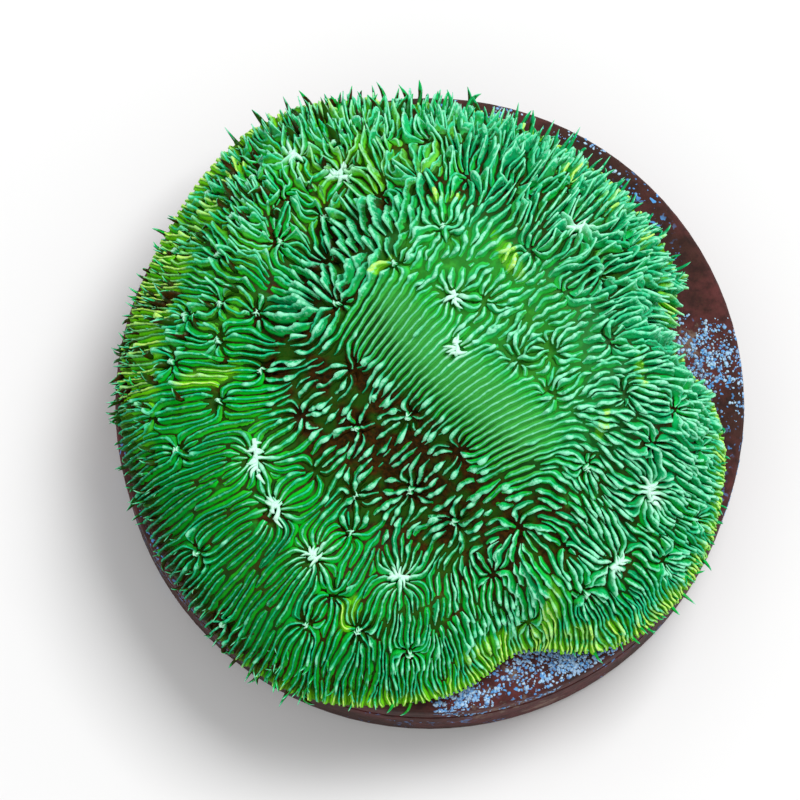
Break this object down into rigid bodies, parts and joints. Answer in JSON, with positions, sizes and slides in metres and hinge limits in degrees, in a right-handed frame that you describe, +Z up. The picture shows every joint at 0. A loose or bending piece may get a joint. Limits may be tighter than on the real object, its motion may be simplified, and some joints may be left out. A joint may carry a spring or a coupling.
{
  "type": "pavona coral colony on a frag disc",
  "caption": "Encrusting cactus coral colony with a lobed, ridged apron and a raised mound, grown over a round ceramic frag disc that it rests on.",
  "frame": {"origin": "centre of the disc's flat underside, on the surface that it rests on", "axes": "+Z is up, along the disc's axis; +X is right and -Y is towards the viewer when the colony is seen from its gently sloping side"},
  "size_m": [0.0318, 0.0318, 0.0161],
  "materials": {
    "coral_skin": "living green tissue over a stony skeleton, satin",
    "crusted_ceramic": "unglazed ceramic with coralline crust, matte"
  },
  "bodies": {
    "root": {"coral_colony": "coral_skin", "frag_disc": "crusted_ceramic"}
  },
  "joints": []
}
